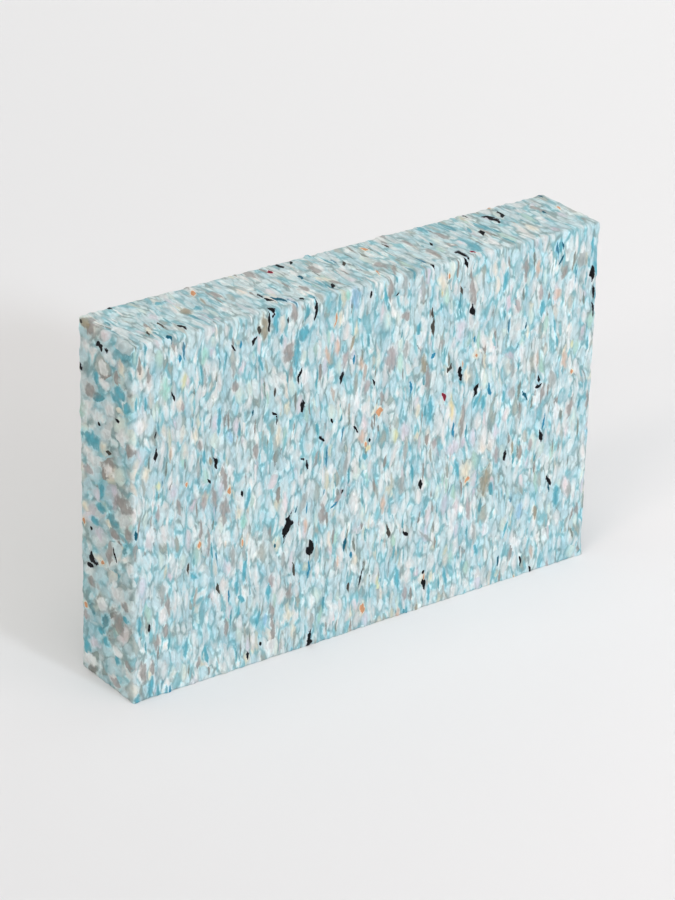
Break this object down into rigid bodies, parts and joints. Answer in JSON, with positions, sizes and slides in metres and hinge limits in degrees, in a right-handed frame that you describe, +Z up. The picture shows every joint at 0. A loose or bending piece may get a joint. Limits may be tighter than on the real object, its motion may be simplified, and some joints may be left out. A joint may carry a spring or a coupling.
{
  "type": "foam block",
  "caption": "Rectangular support block of rebonded chip foam, standing on its long narrow face, with flecks of many colours in a pale blue ground.",
  "frame": {"origin": "middle of the long narrow face that the block stands on", "axes": "+X along the length, +Y through the thickness towards the back, +Z up through the height"},
  "size_m": [0.305, 0.05, 0.205],
  "materials": {
    "chip_foam": "dry matte foam, a mosaic of white, pale blue, teal, grey and black chips pressed together"
  },
  "bodies": {
    "root": {"foam_block": "chip_foam"}
  },
  "joints": []
}
